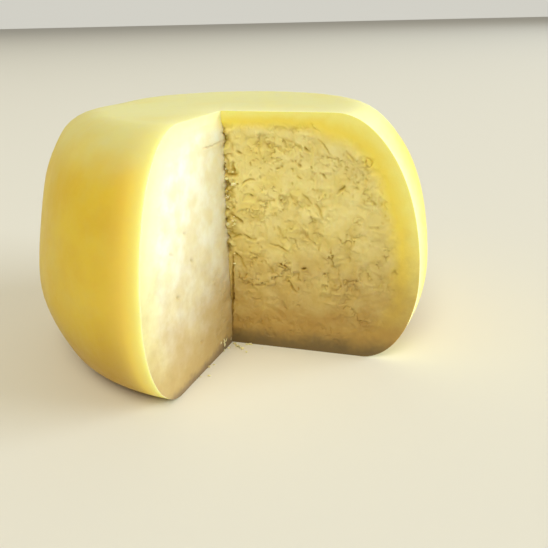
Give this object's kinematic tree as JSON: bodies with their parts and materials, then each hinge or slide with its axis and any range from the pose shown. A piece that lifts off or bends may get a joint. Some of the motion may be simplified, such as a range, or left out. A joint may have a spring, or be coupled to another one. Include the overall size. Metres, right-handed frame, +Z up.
{
  "type": "edam cheese ball",
  "caption": "Flattened ball of semi-hard cheese with a smooth natural yellow rind and a wedge of about a quarter cut out, showing crumbly cream paste; it stands on a flat base.",
  "frame": {"origin": "centre of the ball's flat base, on the ball's upright axis", "axes": "+Z up along the ball's axis; the missing wedge opens towards -Y and +X"},
  "size_m": [0.1589, 0.1548, 0.095],
  "materials": {
    "cheese": "waxy natural yellow rind outside, matt crumbly cream paste on the two cut faces"
  },
  "bodies": {
    "root": {"cheese": "cheese"}
  },
  "joints": []
}
